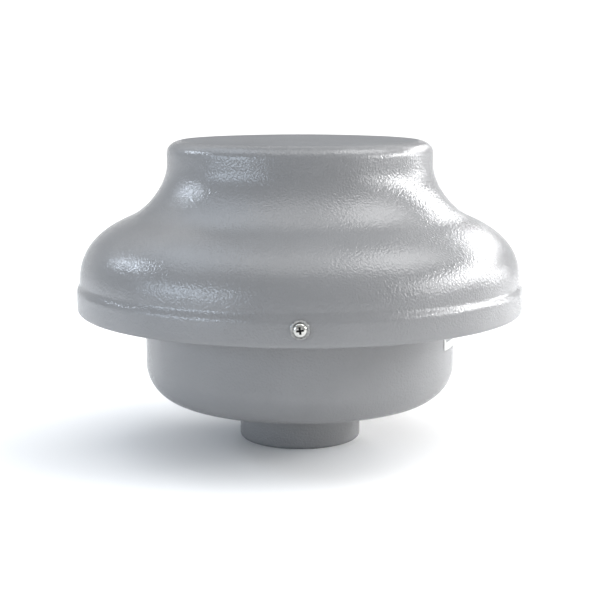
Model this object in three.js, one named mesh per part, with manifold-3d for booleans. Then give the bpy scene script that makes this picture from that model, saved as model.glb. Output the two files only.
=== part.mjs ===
// Exhaust hood fan: a mushroom-shaped centrifugal extractor for a 100 mm duct.
// Air rises through the spigot, is thrown outwards by the impeller inside the base bowl, turns over the
// bowl's lip under the bell cover, and leaves downwards through the ring gap between bowl and cover.
//
// Millimetres, +Z up. The origin is the centre of the spigot's lower end, on the fan's axis.
// -Y is the front, where one of the three cover screws shows.

import * as THREE from "three";
import { mergeVertices } from "three/addons/utils/BufferGeometryUtils.js";
import Module from "manifold-3d";

const wasm = await Module();
wasm.setup();

// ---------------------------------------------------------------- driving dimensions

const GAP = 0.3; // what touching pieces keep between them
const RUN_GAP = 0.8; // between turning and fixed pieces inside the motor

const SPIGOT_RADIUS = 49; // fits a 100 mm duct
const SPIGOT_WALL = 1.8;
const SPIGOT_CURL = 3.8; // radius of the turned-in lower end
const SPIGOT_MOUTH = 42.5;
const SPIGOT_FLANGE_RADIUS = 64;

const SHELL = 1.5; // sheet of the cover and the bowl
const BOWL_RADIUS = 125;
const BOWL_FLOOR = 33.6; // underside of the bowl
const BOWL_CORNER = 30.7;
const BOWL_SEAM = BOWL_FLOOR + BOWL_CORNER; // where the pan ends and the wall is welded on
const BOWL_LIP = 132; // top of the bowl's flange
const BOWL_FLANGE = 139;

const TOTAL_HEIGHT = 245;
const NECK_RADIUS = 106.2;
const RIM_RADIUS = 179;
const RIM_BOTTOM = 106.6;
const RIM_TOP = 130;
const RIM_STEP = 2.5; // how far the rim band stands out from the shoulder above it
const RIM_CURL = 4;
const RIM_LIP = 171; // inner edge of the lip turned in under the rim

const ARMS = [-90, 30, 150]; // degrees: arms of the spider, cover screws and bowl screws
const BETWEEN_ARMS = [90, 210, 330]; // degrees: motor tie bolts and spigot rivets
const SPIDER_SHEET = 3;
const SPIDER_BOTTOM = BOWL_LIP + GAP;
const SPIDER_TOP = SPIDER_BOTTOM + SPIDER_SHEET;
const SPIDER_DISC = 92;
const ARM_WIDTH = 28;
const TAB_BOTTOM = 112;
const COVER_SCREW_HEIGHT = 120.5;
const BOWL_SCREW_CIRCLE = 133;
const TIE_BOLT_CIRCLE = 51;
const RIVET_CIRCLE = 56;

const IMPELLER_RADIUS = 95;
const EYE_RADIUS = 45.5;
const BLADES = 7;
const BLADE_SHEET = 1.5;
const BACKPLATE_BOTTOM = 104;
const SHROUD_RIM_HEIGHT = 75;

const SHAFT_RADIUS = 5;
const BEARING_RADIUS = 13; // 26 x 10 x 8 mm ball bearings
const BEARING_WIDTH = 8;
const MOTOR_FLANGE = 56;
const STATOR_RADIUS = 46.5;
const STATOR_BORE = 26;
const STATOR_BOTTOM = 152.3;
const STATOR_TOP = 190;
const SLOTS = 12;
const MOTOR_BOTTOM = SPIDER_TOP + GAP;
const MOTOR_TOP = 209;

const CAPACITOR_RADIUS = 14;
const EQUIPMENT_CIRCLE = 76; // capacitor and terminal block stand this far from the axis
const GLAND_HEIGHT = 88;
const LABEL_BOTTOM = 81.2;

const SHELL_SIDES = 30; // round outlines of the large shells: a flat faces each arm and each gap
const IMPELLER_SIDES = 4 * BLADES;
const MOTOR_SIDES = 18;
const SMALL_SIDES = 10;
const CURVE_STEPS = 4;

const FLAT = Math.cos(Math.PI / SHELL_SIDES); // a shell's radius at the middle of a flat, over its radius
const RIM_FLAT = RIM_RADIUS * FLAT;
const TAB_OUTSIDE = (RIM_RADIUS - SHELL) * FLAT - GAP; // face of the tab that a cover screw pulls against
const BOWL_WALL_OUTSIDE = BOWL_RADIUS * FLAT;
const BOWL_WALL_INSIDE = (BOWL_RADIUS - SHELL) * FLAT;

// ---------------------------------------------------------------- materials

const paint = new THREE.MeshStandardMaterial({ color: 0x8e9196, roughness: 0.35, metalness: 0.1 });
const galvanised = new THREE.MeshStandardMaterial({ color: 0xa9adb0, roughness: 0.45, metalness: 0.9 });
const zinc = new THREE.MeshStandardMaterial({ color: 0xc9c9c4, roughness: 0.3, metalness: 1 });
const castAluminium = new THREE.MeshStandardMaterial({ color: 0xb4b6b8, roughness: 0.55, metalness: 0.8 });
const steel = new THREE.MeshStandardMaterial({ color: 0x8f9295, roughness: 0.3, metalness: 1 });
const copper = new THREE.MeshStandardMaterial({ color: 0x9c4a26, roughness: 0.4, metalness: 0.6 });
const blackPlastic = new THREE.MeshStandardMaterial({ color: 0x1c1d1f, roughness: 0.6, metalness: 0 });
const whitePlastic = new THREE.MeshStandardMaterial({ color: 0xe4e3dd, roughness: 0.5, metalness: 0 });
const leadSheath = new THREE.MeshStandardMaterial({ color: 0x3b3c40, roughness: 0.7, metalness: 0 });
const foil = new THREE.MeshStandardMaterial({ color: 0xf1f1ee, roughness: 0.5, metalness: 0 });

// ---------------------------------------------------------------- shape helpers

const root = new THREE.Group();

function add(name, geometry, material) {
  const mesh = new THREE.Mesh(geometry, material);
  mesh.name = name;
  root.add(mesh);
  return mesh;
}

const radians = THREE.MathUtils.degToRad;

function polar(radius, degrees, z = 0) {
  const a = radians(degrees);
  return new THREE.Vector3(radius * Math.cos(a), radius * Math.sin(a), z);
}

// Turns an outline of [radius, height] points about the Z axis. It closes on itself or ends on the axis.
// The middle of one of the flats faces the front.
function revolve(outline, sides) {
  const points = outline.map(([r, z]) => new THREE.Vector2(Math.max(r, 0), z));
  const area = THREE.ShapeUtils.area(points);
  if (area < 0) points.reverse();
  const closed = points[0].x > 0 || points[points.length - 1].x > 0;
  if (closed) points.push(points[0].clone());
  return new THREE.LatheGeometry(points, sides).rotateX(Math.PI / 2).rotateZ(Math.PI / sides);
}

// The [x, y] points of a path: the ends of its lines, and a few steps along each of its curves.
function pointsOf(path, steps = CURVE_STEPS) {
  const points = path.curves.flatMap((curve) => curve.getPoints(curve.isLineCurve ? 1 : steps));
  const apart = points.filter((p, i) => i === 0 || p.distanceTo(points[i - 1]) > 1e-6);
  return apart.map((p) => [p.x, p.y]);
}

// The closed outline of a sheet: the path, and the path again moved sideways by the sheet's thickness.
// A positive side puts the sheet's other face to the left of the path's direction.
function sheetOutline(points, thickness, side) {
  const moved = points.map(([x, y], i) => {
    const [x0, y0] = points[Math.max(i - 1, 0)];
    const [x1, y1] = points[Math.min(i + 1, points.length - 1)];
    const before = new THREE.Vector2(x - x0, y - y0).normalize();
    const after = new THREE.Vector2(x1 - x, y1 - y).normalize();
    const along = before.clone().add(after).normalize();
    const cosine = i > 0 && i < points.length - 1 ? along.dot(after) : 1;
    const shift = (side * thickness) / cosine;
    return [x - along.y * shift, y + along.x * shift];
  });
  return [...points, ...moved.reverse()];
}

function ring(inner, outer, bottom, top, sides) {
  return revolve([[inner, bottom], [outer, bottom], [outer, top], [inner, top]], sides);
}

function disc(radius, bottom, top, sides) {
  return revolve([[0, bottom], [radius, bottom], [radius, top], [0, top]], sides);
}

function box(width, depth, height, x, y, z) {
  return new THREE.BoxGeometry(width, depth, height).translate(x, y, z);
}

// A hexagonal prism, its axis on Z, with two flats facing +X and -X.
function hexagon(acrossFlats, bottom, top) {
  return disc(acrossFlats / Math.sqrt(3), bottom, top, 6).rotateZ(Math.PI / 6);
}

function solid(geometry) {
  const bare = geometry.clone();
  bare.deleteAttribute("normal");
  bare.deleteAttribute("uv");
  const merged = mergeVertices(bare, 1e-4);
  const corners = Array.from(merged.index.array);
  const triangles = [];
  for (let i = 0; i < corners.length; i += 3) {
    const [a, b, c] = corners.slice(i, i + 3);
    if (a !== b && b !== c && c !== a) triangles.push(a, b, c);
  }
  const vertProperties = new Float32Array(merged.attributes.position.array);
  return new wasm.Manifold(new wasm.Mesh({ numProp: 3, vertProperties, triVerts: new Uint32Array(triangles) }));
}

function geometryOf(manifold) {
  const mesh = manifold.getMesh();
  const positions = new Float32Array(mesh.numVert * 3);
  for (let i = 0; i < mesh.numVert; i++) {
    positions.set(mesh.vertProperties.subarray(i * mesh.numProp, i * mesh.numProp + 3), i * 3);
  }
  const geometry = new THREE.BufferGeometry();
  geometry.setAttribute("position", new THREE.BufferAttribute(positions, 3));
  geometry.setIndex(new THREE.BufferAttribute(new Uint32Array(mesh.triVerts), 1));
  return geometry;
}

function cut(geometry, tools) {
  let result = solid(geometry);
  for (const tool of tools) result = result.subtract(solid(tool));
  return geometryOf(result);
}

function join(...geometries) {
  let result = solid(geometries[0]);
  for (const geometry of geometries.slice(1)) result = result.add(solid(geometry));
  return geometryOf(result);
}

function common(first, second) {
  return geometryOf(solid(first).intersect(solid(second)));
}

// Moves a shape made on the Z axis so that its axis points outwards from the fan's axis at an angle.
// What was at height h is then h from the fan's axis.
function pointOutwards(geometry, degrees, height) {
  return geometry.rotateY(Math.PI / 2).rotateZ(radians(degrees)).translate(0, 0, height);
}

// Moves a shape made on the Z axis to a place on a circle, turned to face outwards.
function stand(geometry, radius, degrees) {
  const place = polar(radius, degrees);
  return geometry.rotateZ(radians(degrees)).translate(place.x, place.y, 0);
}

function hole(radius, bottom, top) {
  return disc(radius, bottom, top, SMALL_SIDES);
}

// ---------------------------------------------------------------- bell cover

// The outside of the cover, from the axis at the top to the end of the lip under the rim.
function bellOutside() {
  const crownRadius = 92.5;
  const crownEdge = TOTAL_HEIGHT - 2.6;
  const neckTop = 232;
  const neckBottom = 223.1;
  const waist = new THREE.Vector2(136.7, 181.2); // where the hollow flare turns into the full shoulder
  const slope = new THREE.Vector2(Math.cos(radians(23.8)), -Math.sin(radians(23.8)));
  const above = waist.clone().addScaledVector(slope, -17.5);
  const below = waist.clone().addScaledVector(slope, 15);
  const shoulderRadius = RIM_RADIUS - RIM_STEP;
  const path = new THREE.Path();
  path.moveTo(0, TOTAL_HEIGHT);
  path.lineTo(crownRadius / 2, TOTAL_HEIGHT - 0.65);
  path.lineTo(crownRadius, crownEdge);
  path.bezierCurveTo(crownRadius + 8, crownEdge - 0.5, NECK_RADIUS, neckTop + 6, NECK_RADIUS, neckTop);
  path.lineTo(NECK_RADIUS, neckBottom);
  path.bezierCurveTo(NECK_RADIUS, neckBottom - 14.2, above.x, above.y, waist.x, waist.y);
  path.bezierCurveTo(below.x, below.y, shoulderRadius, RIM_TOP + 33.6, shoulderRadius, RIM_TOP);
  path.lineTo(RIM_RADIUS, RIM_TOP - 2);
  path.lineTo(RIM_RADIUS, RIM_BOTTOM + RIM_CURL);
  path.absarc(RIM_RADIUS - RIM_CURL, RIM_BOTTOM + RIM_CURL, RIM_CURL, 0, -Math.PI / 2, true);
  path.lineTo(RIM_LIP, RIM_BOTTOM);
  return path;
}

// The lip under the rim has a notch at each arm, so that the cover lifts off past the arms' tabs.
function bellCover() {
  const cover = revolve(sheetOutline(pointsOf(bellOutside()), SHELL, -1), SHELL_SIDES);
  const holes = ARMS.map((a) => pointOutwards(hole(3, RIM_RADIUS - 8, RIM_RADIUS + 4), a, COVER_SCREW_HEIGHT));
  const reach = TAB_OUTSIDE + GAP;
  const notches = ARMS.map((a) => box(12, ARM_WIDTH + 3, 8, reach - 6, 0, RIM_BOTTOM + 1).rotateZ(radians(a)));
  return cut(cover, [...holes, ...notches]);
}

// ---------------------------------------------------------------- base bowl, spigot and inlet cone

// The bowl's lower piece: its flat floor, which carries the spigot and the inlet cone, and its rounded corner.
function bowlPan() {
  const cornerCentre = BOWL_RADIUS - BOWL_CORNER;
  const path = new THREE.Path();
  path.moveTo(SPIGOT_RADIUS + GAP, BOWL_FLOOR);
  path.lineTo(cornerCentre, BOWL_FLOOR);
  path.absarc(cornerCentre, BOWL_SEAM, BOWL_CORNER, -Math.PI / 2, 0, false);
  const pan = revolve(sheetOutline(pointsOf(path), SHELL, 1), SHELL_SIDES);
  return cut(pan, BETWEEN_ARMS.map((a) => stand(hole(2.5, BOWL_FLOOR - 5, BOWL_FLOOR + 10), RIVET_CIRCLE, a)));
}

// The bowl's upper piece, welded edge to edge on the pan: its straight wall and the flange the spider stands on.
function bowlWall() {
  const flangeFillet = 3;
  const flangeBottom = BOWL_LIP - SHELL;
  const path = new THREE.Path();
  path.moveTo(BOWL_RADIUS, BOWL_SEAM + GAP);
  path.lineTo(BOWL_RADIUS, flangeBottom - flangeFillet);
  path.absarc(BOWL_RADIUS + flangeFillet, flangeBottom - flangeFillet, flangeFillet, Math.PI, Math.PI / 2, true);
  path.lineTo(BOWL_FLANGE, flangeBottom);
  const wall = revolve(sheetOutline(pointsOf(path), SHELL, 1), SHELL_SIDES);
  const tools = [
    pointOutwards(disc(8.4, BOWL_RADIUS - 10, BOWL_RADIUS + 5, MOTOR_SIDES), 90, GLAND_HEIGHT),
    ...ARMS.map((a) => stand(hole(3, BOWL_LIP - 10, BOWL_LIP + 5), BOWL_SCREW_CIRCLE, a)),
  ];
  return cut(wall, tools);
}

const SPIGOT_FLANGE_BOTTOM = BOWL_FLOOR + SHELL + GAP;
const SPIGOT_FLANGE_TOP = SPIGOT_FLANGE_BOTTOM + SPIGOT_WALL;

function ductSpigot() {
  const curlCentre = SPIGOT_RADIUS - SPIGOT_CURL;
  const path = new THREE.Path();
  path.moveTo(SPIGOT_MOUTH, 0);
  path.lineTo(curlCentre, 0);
  path.absarc(curlCentre, SPIGOT_CURL, SPIGOT_CURL, -Math.PI / 2, 0, false);
  path.lineTo(SPIGOT_RADIUS, SPIGOT_FLANGE_TOP);
  return revolve(sheetOutline(pointsOf(path, 3), SPIGOT_WALL, 1), SHELL_SIDES);
}

// The ring welded round the spigot's upper end, which the rivets hold down on the bowl's floor.
function spigotFlange() {
  const inner = SPIGOT_RADIUS + GAP;
  const plate = ring(inner, SPIGOT_FLANGE_RADIUS, SPIGOT_FLANGE_BOTTOM, SPIGOT_FLANGE_TOP, SHELL_SIDES);
  return cut(plate, BETWEEN_ARMS.map((a) => stand(hole(2.5, 30, 45), RIVET_CIRCLE, a)));
}

const CONE_SHEET = 1.2;
const CONE_BOTTOM = SPIGOT_FLANGE_TOP + GAP;
const CONE_THROAT = 42.5;

function inletCone() {
  const path = new THREE.Path();
  path.moveTo(62, CONE_BOTTOM);
  path.lineTo(50, CONE_BOTTOM);
  path.bezierCurveTo(45, CONE_BOTTOM, CONE_THROAT, CONE_BOTTOM + 5, CONE_THROAT, CONE_BOTTOM + 12);
  path.lineTo(CONE_THROAT, 60);
  const outline = sheetOutline(pointsOf(path, 3), CONE_SHEET, -1);
  const tools = BETWEEN_ARMS.map((a) => stand(hole(2.5, 30, 45), RIVET_CIRCLE, a));
  return cut(revolve(outline, SHELL_SIDES), tools);
}

// A blind rivet: its domed head is under the bowl and its set end is over the cone's flange.
function rivet() {
  const setEnd = CONE_BOTTOM + CONE_SHEET + GAP;
  const headTop = BOWL_FLOOR - GAP;
  const outline = [
    [0, headTop - 1.5], [2.6, headTop - 1.1], [4, headTop - 0.3], [4, headTop],
    [2, headTop], [2, setEnd], [2.9, setEnd], [2.9, setEnd + 2], [0, setEnd + 2.8],
  ];
  return revolve(outline, 8);
}

// ---------------------------------------------------------------- spider that carries the motor and the cover

// An arm of the spider, along +X: it runs out flat, turns down inside the cover, and steps out to the rim band.
function spiderArm() {
  const underShoulder = TAB_OUTSIDE - RIM_STEP - 1.2;
  const topFace = [
    [SPIDER_DISC - 15, SPIDER_TOP], [underShoulder, SPIDER_TOP], [underShoulder, RIM_TOP - 0.6],
    [TAB_OUTSIDE, RIM_TOP - 3.2], [TAB_OUTSIDE, TAB_BOTTOM],
  ];
  const outline = sheetOutline(topFace, SPIDER_SHEET, -1).map(([x, y]) => new THREE.Vector2(x, y));
  return new THREE.ExtrudeGeometry(new THREE.Shape(outline), { depth: ARM_WIDTH, bevelEnabled: false })
    .translate(0, 0, -ARM_WIDTH / 2)
    .rotateX(Math.PI / 2);
}

function spider() {
  const arms = ARMS.map((a) => spiderArm().rotateZ(radians(a)));
  const plate = join(disc(SPIDER_DISC, SPIDER_BOTTOM, SPIDER_TOP, SHELL_SIDES), ...arms);
  const through = [SPIDER_BOTTOM - 5, SPIDER_TOP + 5];
  const tools = [
    disc(20, ...through, MOTOR_SIDES),
    ...BETWEEN_ARMS.map((a) => stand(hole(2.5, ...through), TIE_BOLT_CIRCLE, a)),
    ...ARMS.map((a) => stand(hole(3, ...through), BOWL_SCREW_CIRCLE, a)),
    ...ARMS.map((a) => pointOutwards(hole(3, TAB_OUTSIDE - 8, TAB_OUTSIDE + 4), a, COVER_SCREW_HEIGHT)),
    stand(hole(4.5, ...through), EQUIPMENT_CIRCLE, -90),
  ];
  return cut(plate, tools);
}

// ---------------------------------------------------------------- fasteners

// A pan-head cross-recess screw: the head stands on height 0 and the shank hangs below it.
function panScrew(shankRadius, headRadius, headHeight, length) {
  const body = revolve([
    [0, -length], [shankRadius, -length], [shankRadius, 0], [headRadius, 0], [headRadius, headHeight * 0.45],
    [headRadius * 0.86, headHeight * 0.8], [headRadius * 0.5, headHeight], [0, headHeight],
  ], SMALL_SIDES + 2);
  const recess = headRadius * 1.1;
  const slot = [headHeight * 0.75, headHeight * 0.7];
  const blades = [0, 90].map((a) => box(recess, 1.1, slot[0], 0, 0, slot[1]).rotateZ(radians(a)));
  return cut(body, blades);
}

function hexBolt(shankRadius, acrossFlats, headHeight, length) {
  const overlap = 0.5;
  return join(hexagon(acrossFlats, 0, headHeight), disc(shankRadius, -length, overlap, SMALL_SIDES));
}

function nut(acrossFlats, bore, height) {
  return cut(hexagon(acrossFlats, 0, height), [hole(bore, -1, height + 1)]);
}

// ---------------------------------------------------------------- impeller

// The face of the shroud that guides the air, from the eye to the rim.
function shroudFace() {
  const path = new THREE.Path();
  path.moveTo(EYE_RADIUS, 54);
  path.lineTo(EYE_RADIUS, 59);
  path.quadraticCurveTo(EYE_RADIUS, 67.5, 58, 69);
  path.lineTo(IMPELLER_RADIUS, SHROUD_RIM_HEIGHT);
  return pointsOf(path, 3);
}

function impellerShroud() {
  return revolve(sheetOutline(shroudFace(), BLADE_SHEET, -1), IMPELLER_SIDES);
}

// One backward-curved blade: an arc in plan, its lower edge cut to the shroud's face.
function impellerBlade(index) {
  const bow = 70; // radius of the blade's arc in plan
  const start = polar(50, 0);
  const end = polar(IMPELLER_RADIUS - 1.5, -42);
  const chord = end.clone().sub(start);
  const half = chord.length() / 2;
  const across = new THREE.Vector3(-chord.y, chord.x, 0).normalize();
  const sink = Math.sqrt(bow * bow - half * half);
  const centre = start.clone().add(end).multiplyScalar(0.5).addScaledVector(across, -sink);
  const from = Math.atan2(start.y - centre.y, start.x - centre.x);
  const to = Math.atan2(end.y - centre.y, end.x - centre.x);
  const plan = new THREE.Shape();
  plan.absarc(centre.x, centre.y, bow - BLADE_SHEET / 2, from, to, true);
  plan.absarc(centre.x, centre.y, bow + BLADE_SHEET / 2, to, from, false);
  const top = BACKPLATE_BOTTOM - GAP;
  const bottom = 60;
  const blade = new THREE.ExtrudeGeometry(plan, { depth: top - bottom, bevelEnabled: false, curveSegments: 5 })
    .translate(0, 0, bottom);
  const lifted = shroudFace().map(([r, z]) => [r, z + GAP]);
  const [first, last] = [lifted[0], lifted[lifted.length - 1]];
  const under = revolve([[first[0], 40], ...lifted, [last[0] + 5, last[1]], [last[0] + 5, 40]], IMPELLER_SIDES);
  return cut(blade, [under]).rotateZ((index * 2 * Math.PI) / BLADES);
}

const BACKPLATE_TOP = BACKPLATE_BOTTOM + BLADE_SHEET;
const HUB_RADIUS = 12;
const HUB_BOTTOM = 94;
const HUB_TOP = 122;
const SET_SCREW_HEIGHT = 115;

function impellerHub() {
  const flange = BACKPLATE_TOP + GAP;
  const bore = SHAFT_RADIUS + GAP;
  const body = revolve([
    [bore, HUB_BOTTOM], [HUB_RADIUS, HUB_BOTTOM], [HUB_RADIUS, flange], [24, flange], [24, flange + 3],
    [HUB_RADIUS + 1, flange + 4], [HUB_RADIUS, flange + 6], [HUB_RADIUS, HUB_TOP], [bore, HUB_TOP],
  ], MOTOR_SIDES);
  return cut(body, [pointOutwards(hole(2.8, 0, HUB_RADIUS + 5), 0, SET_SCREW_HEIGHT)]);
}

// ---------------------------------------------------------------- motor

const BOSS_RADIUS = BEARING_RADIUS + GAP;
const BOSS_WALL = 4;
const SHIELD_SHEET = 3;
const SHIELD_WALL = 3;

// An end shield with its outer face at height 0 and its open side up, to the given depth.
function endShield(depth, bossDepth) {
  const wall = STATOR_RADIUS - SHIELD_WALL;
  const body = revolve([
    [SHAFT_RADIUS + RUN_GAP, 0], [MOTOR_FLANGE, 0], [MOTOR_FLANGE, SHIELD_SHEET], [STATOR_RADIUS, SHIELD_SHEET],
    [STATOR_RADIUS, depth], [wall, depth], [wall, SHIELD_SHEET], [BOSS_RADIUS + BOSS_WALL, SHIELD_SHEET],
    [BOSS_RADIUS + BOSS_WALL, bossDepth], [BOSS_RADIUS, bossDepth], [BOSS_RADIUS, SHIELD_SHEET],
    [SHAFT_RADIUS + RUN_GAP, SHIELD_SHEET],
  ], MOTOR_SIDES);
  const boltHoles = BETWEEN_ARMS.map((a) => stand(hole(2.5, -2, SHIELD_SHEET + 2), TIE_BOLT_CIRCLE, a));
  const windows = [30, 150, 270].map((a) =>
    box(8, 22, depth - SHIELD_SHEET - 6, STATOR_RADIUS, 0, (depth + SHIELD_SHEET) / 2).rotateZ(radians(a)));
  return cut(body, [...boltHoles, ...windows]);
}

const SLOT_OUTER = 40;
const SLOT_WIDTH = 8;

function slotBoxes(width, inner, outer, bottom, top) {
  return Array.from({ length: SLOTS }, (_, i) =>
    box(outer - inner, width, top - bottom, (inner + outer) / 2, 0, (bottom + top) / 2)
      .rotateZ(((i + 0.5) * 2 * Math.PI) / SLOTS));
}

function statorCore() {
  const core = ring(STATOR_BORE, STATOR_RADIUS, STATOR_BOTTOM, STATOR_TOP, MOTOR_SIDES);
  const mouths = slotBoxes(3, STATOR_BORE - 3, 32, STATOR_BOTTOM - 1, STATOR_TOP + 1);
  const slots = slotBoxes(SLOT_WIDTH, 30, SLOT_OUTER, STATOR_BOTTOM - 1, STATOR_TOP + 1);
  return cut(core, [...mouths, ...slots]);
}

// The winding: two coil heads joined through the slots of the core.
function statorWindings() {
  const headHeight = 9;
  const head = (low) => revolve([
    [30, low], [39, low], [41, low + 3], [41, low + headHeight - 3], [39, low + headHeight],
    [30, low + headHeight],
  ], MOTOR_SIDES);
  const lower = STATOR_BOTTOM - GAP - headHeight;
  const upper = STATOR_TOP + GAP;
  const inSlots = slotBoxes(SLOT_WIDTH - 2 * GAP, 31, SLOT_OUTER - 1, lower + 3, upper + headHeight - 3);
  return join(head(lower), head(upper), ...inSlots);
}

function rotorCore() {
  const bore = SHAFT_RADIUS + GAP;
  const packRadius = STATOR_BORE - 0.6;
  const ringHeight = 4;
  return revolve([
    [bore, STATOR_BOTTOM], [15, STATOR_BOTTOM], [15, STATOR_BOTTOM - ringHeight], [24, STATOR_BOTTOM - ringHeight],
    [24, STATOR_BOTTOM], [packRadius, STATOR_BOTTOM], [packRadius, STATOR_TOP], [24, STATOR_TOP],
    [24, STATOR_TOP + ringHeight], [15, STATOR_TOP + ringHeight], [15, STATOR_TOP], [bore, STATOR_TOP],
  ], MOTOR_SIDES);
}

const RACE_SPLIT = 8.4; // radius where the turning race meets the fixed race with its seal

function innerRace(bottom) {
  return ring(SHAFT_RADIUS + GAP, RACE_SPLIT - 0.2, bottom, bottom + BEARING_WIDTH, MOTOR_SIDES);
}

function outerRace(bottom) {
  return ring(RACE_SPLIT + 0.2, BEARING_RADIUS, bottom, bottom + BEARING_WIDTH, MOTOR_SIDES);
}

// A wave washer: a flat ring with three crests that pushes the upper bearing down.
function waveWasher(bottom) {
  const sheet = 0.5;
  const height = 1.2;
  const washer = ring(9, 12.6, 0, sheet, MOTOR_SIDES);
  const position = washer.getAttribute("position");
  for (let i = 0; i < position.count; i++) {
    const angle = Math.atan2(position.getY(i), position.getX(i));
    position.setZ(i, position.getZ(i) + ((height - sheet) * (1 + Math.cos(3 * angle))) / 2);
  }
  return washer.translate(0, 0, bottom);
}

// ---------------------------------------------------------------- electrical pieces

// A motor-run capacitor with a threaded stud through the spider.
function capacitor() {
  const low = SPIDER_TOP + GAP;
  const high = low + 54;
  return revolve([
    [0, 124], [3.9, 124], [3.9, low], [CAPACITOR_RADIUS - 1, low], [CAPACITOR_RADIUS, low + 1],
    [CAPACITOR_RADIUS, high - 2], [CAPACITOR_RADIUS - 2, high], [0, high],
  ], MOTOR_SIDES).translate(0, -EQUIPMENT_CIRCLE, 0);
}

const BLOCK_DEPTH = 22;
const BLOCK_HEIGHT = 18;

function terminalBlock() {
  const bottom = SPIDER_TOP + GAP;
  const body = box(44, BLOCK_DEPTH, BLOCK_HEIGHT, 0, EQUIPMENT_CIRCLE, bottom + BLOCK_HEIGHT / 2);
  const places = [-14, 0, 14];
  const screwHoles = places.map((x) => hole(3, bottom + BLOCK_HEIGHT - 7, bottom + BLOCK_HEIGHT + 2)
    .translate(x, EQUIPMENT_CIRCLE, 0));
  const steps = [-1, 1].map((side) =>
    box(60, 6, 8, 0, EQUIPMENT_CIRCLE + side * BLOCK_DEPTH / 2, bottom + BLOCK_HEIGHT));
  return cut(body, [...screwHoles, ...steps]);
}

function lead(points, radius, steps) {
  const section = new THREE.Shape();
  section.absarc(0, 0, radius, 0, 2 * Math.PI, false);
  const extrudePath = new THREE.CatmullRomCurve3(points.map((p) => new THREE.Vector3(...p)));
  return new THREE.ExtrudeGeometry(section, { steps, extrudePath, bevelEnabled: false, curveSegments: 4 });
}

const SHIELD_FLAT = STATOR_RADIUS * Math.cos(Math.PI / MOTOR_SIDES) + GAP;

function motorLead() {
  const block = EQUIPMENT_CIRCLE - BLOCK_DEPTH / 2 - GAP;
  return lead([
    [9, SHIELD_FLAT, 145], [9, SHIELD_FLAT + 6, 145], [9, block - 6, 143.5], [9, block, 143.5],
  ], 2.2, 8);
}

function capacitorLead() {
  const top = SPIDER_TOP + GAP + 54 + GAP;
  return lead([
    [0, -EQUIPMENT_CIRCLE, top], [0, -EQUIPMENT_CIRCLE, top + 5], [0, -69, top + 11],
    [0, -58, top + 12], [0, -SHIELD_FLAT - 5, 199], [0, -SHIELD_FLAT, 199],
  ], 2, 14);
}

// The cable gland's pieces lie on the Z axis; heights are distances from the fan's axis.
const GLAND_SIDES = 12;
const GLAND_FLANGE = BOWL_WALL_OUTSIDE + GAP;
const GLAND_SPANNER = 20; // across flats
const GLAND_BORE = 6.2;

function glandBody() {
  const thread = disc(7.8, BOWL_WALL_INSIDE - 7, GLAND_FLANGE + 11, GLAND_SIDES);
  const collar = hexagon(GLAND_SPANNER, GLAND_FLANGE, GLAND_FLANGE + 5);
  return cut(join(thread, collar), [disc(GLAND_BORE, 100, 150, GLAND_SIDES)]);
}

function glandCap() {
  const low = GLAND_FLANGE + 5 + GAP;
  const grip = hexagon(GLAND_SPANNER, low, low + 8);
  const dome = revolve([
    [0, low + 7], [9.8, low + 7], [9.4, low + 10], [7.6, low + 13], [0, low + 13],
  ], GLAND_SIDES);
  const bore = revolve([
    [0, low - 1], [8.3, low - 1], [8.3, low + 6.5], [GLAND_BORE, low + 9], [GLAND_BORE, low + 15], [0, low + 15],
  ], GLAND_SIDES);
  return cut(join(grip, dome), [bore]);
}

function glandLocknut() {
  const top = BOWL_WALL_INSIDE - GAP;
  return cut(hexagon(GLAND_SPANNER, top - 4, top), [disc(8.3, top - 6, top + 2, GLAND_SIDES)]);
}

// A thin plate on the bowl's wall, on the right of the fan.
function ratingLabel() {
  const [from, to] = [radians(-26.5), radians(10)];
  const sleeve = ring(BOWL_RADIUS + GAP, BOWL_RADIUS + 2 * GAP, LABEL_BOTTOM, LABEL_BOTTOM + 40, SHELL_SIDES);
  const plan = new THREE.Shape();
  plan.moveTo(0, 0);
  plan.lineTo(200 * Math.cos(from), 200 * Math.sin(from));
  plan.lineTo(200 * Math.cos(to), 200 * Math.sin(to));
  return common(sleeve, new THREE.ExtrudeGeometry(plan, { depth: TOTAL_HEIGHT, bevelEnabled: false }));
}

// ---------------------------------------------------------------- the assembly

const SIDES = ["front", "right", "left"]; // the arms' places, in the order of ARMS
const GAPS_BETWEEN = ["back", "left", "right"]; // the places between the arms, in the order of BETWEEN_ARMS

add("bell_cover", bellCover(), paint);
add("bowl_pan", bowlPan(), paint);
add("bowl_wall", bowlWall(), paint);
add("duct_spigot", ductSpigot(), paint);
add("spigot_flange", spigotFlange(), paint);
add("inlet_cone", inletCone(), galvanised);
add("motor_spider", spider(), galvanised);
add("rating_label", ratingLabel(), foil);

SIDES.forEach((side, i) => {
  const angle = ARMS[i];
  const washerInside = RIM_FLAT + GAP;
  const headInside = washerInside + 1 + GAP;
  const weldNutInside = TAB_OUTSIDE - SPIDER_SHEET - GAP - 4;
  const washer = ring(2.9, 7, washerInside, washerInside + 1, 16);
  const screw = panScrew(2.5, 4.9, 3.5, 14).translate(0, 0, headInside);
  const weldNut = nut(8, 2.9, 4).translate(0, 0, weldNutInside);
  add(`cover_washer_${side}`, pointOutwards(washer, angle, COVER_SCREW_HEIGHT), zinc);
  add(`cover_screw_${side}`, pointOutwards(screw, angle, COVER_SCREW_HEIGHT), zinc);
  add(`cover_nut_${side}`, pointOutwards(weldNut, angle, COVER_SCREW_HEIGHT), zinc);
  const bowlScrew = hexBolt(2.5, 8, 3.5, 12).translate(0, 0, SPIDER_TOP + GAP);
  add(`bowl_screw_${side}`, stand(bowlScrew, BOWL_SCREW_CIRCLE, angle), zinc);
});

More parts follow.
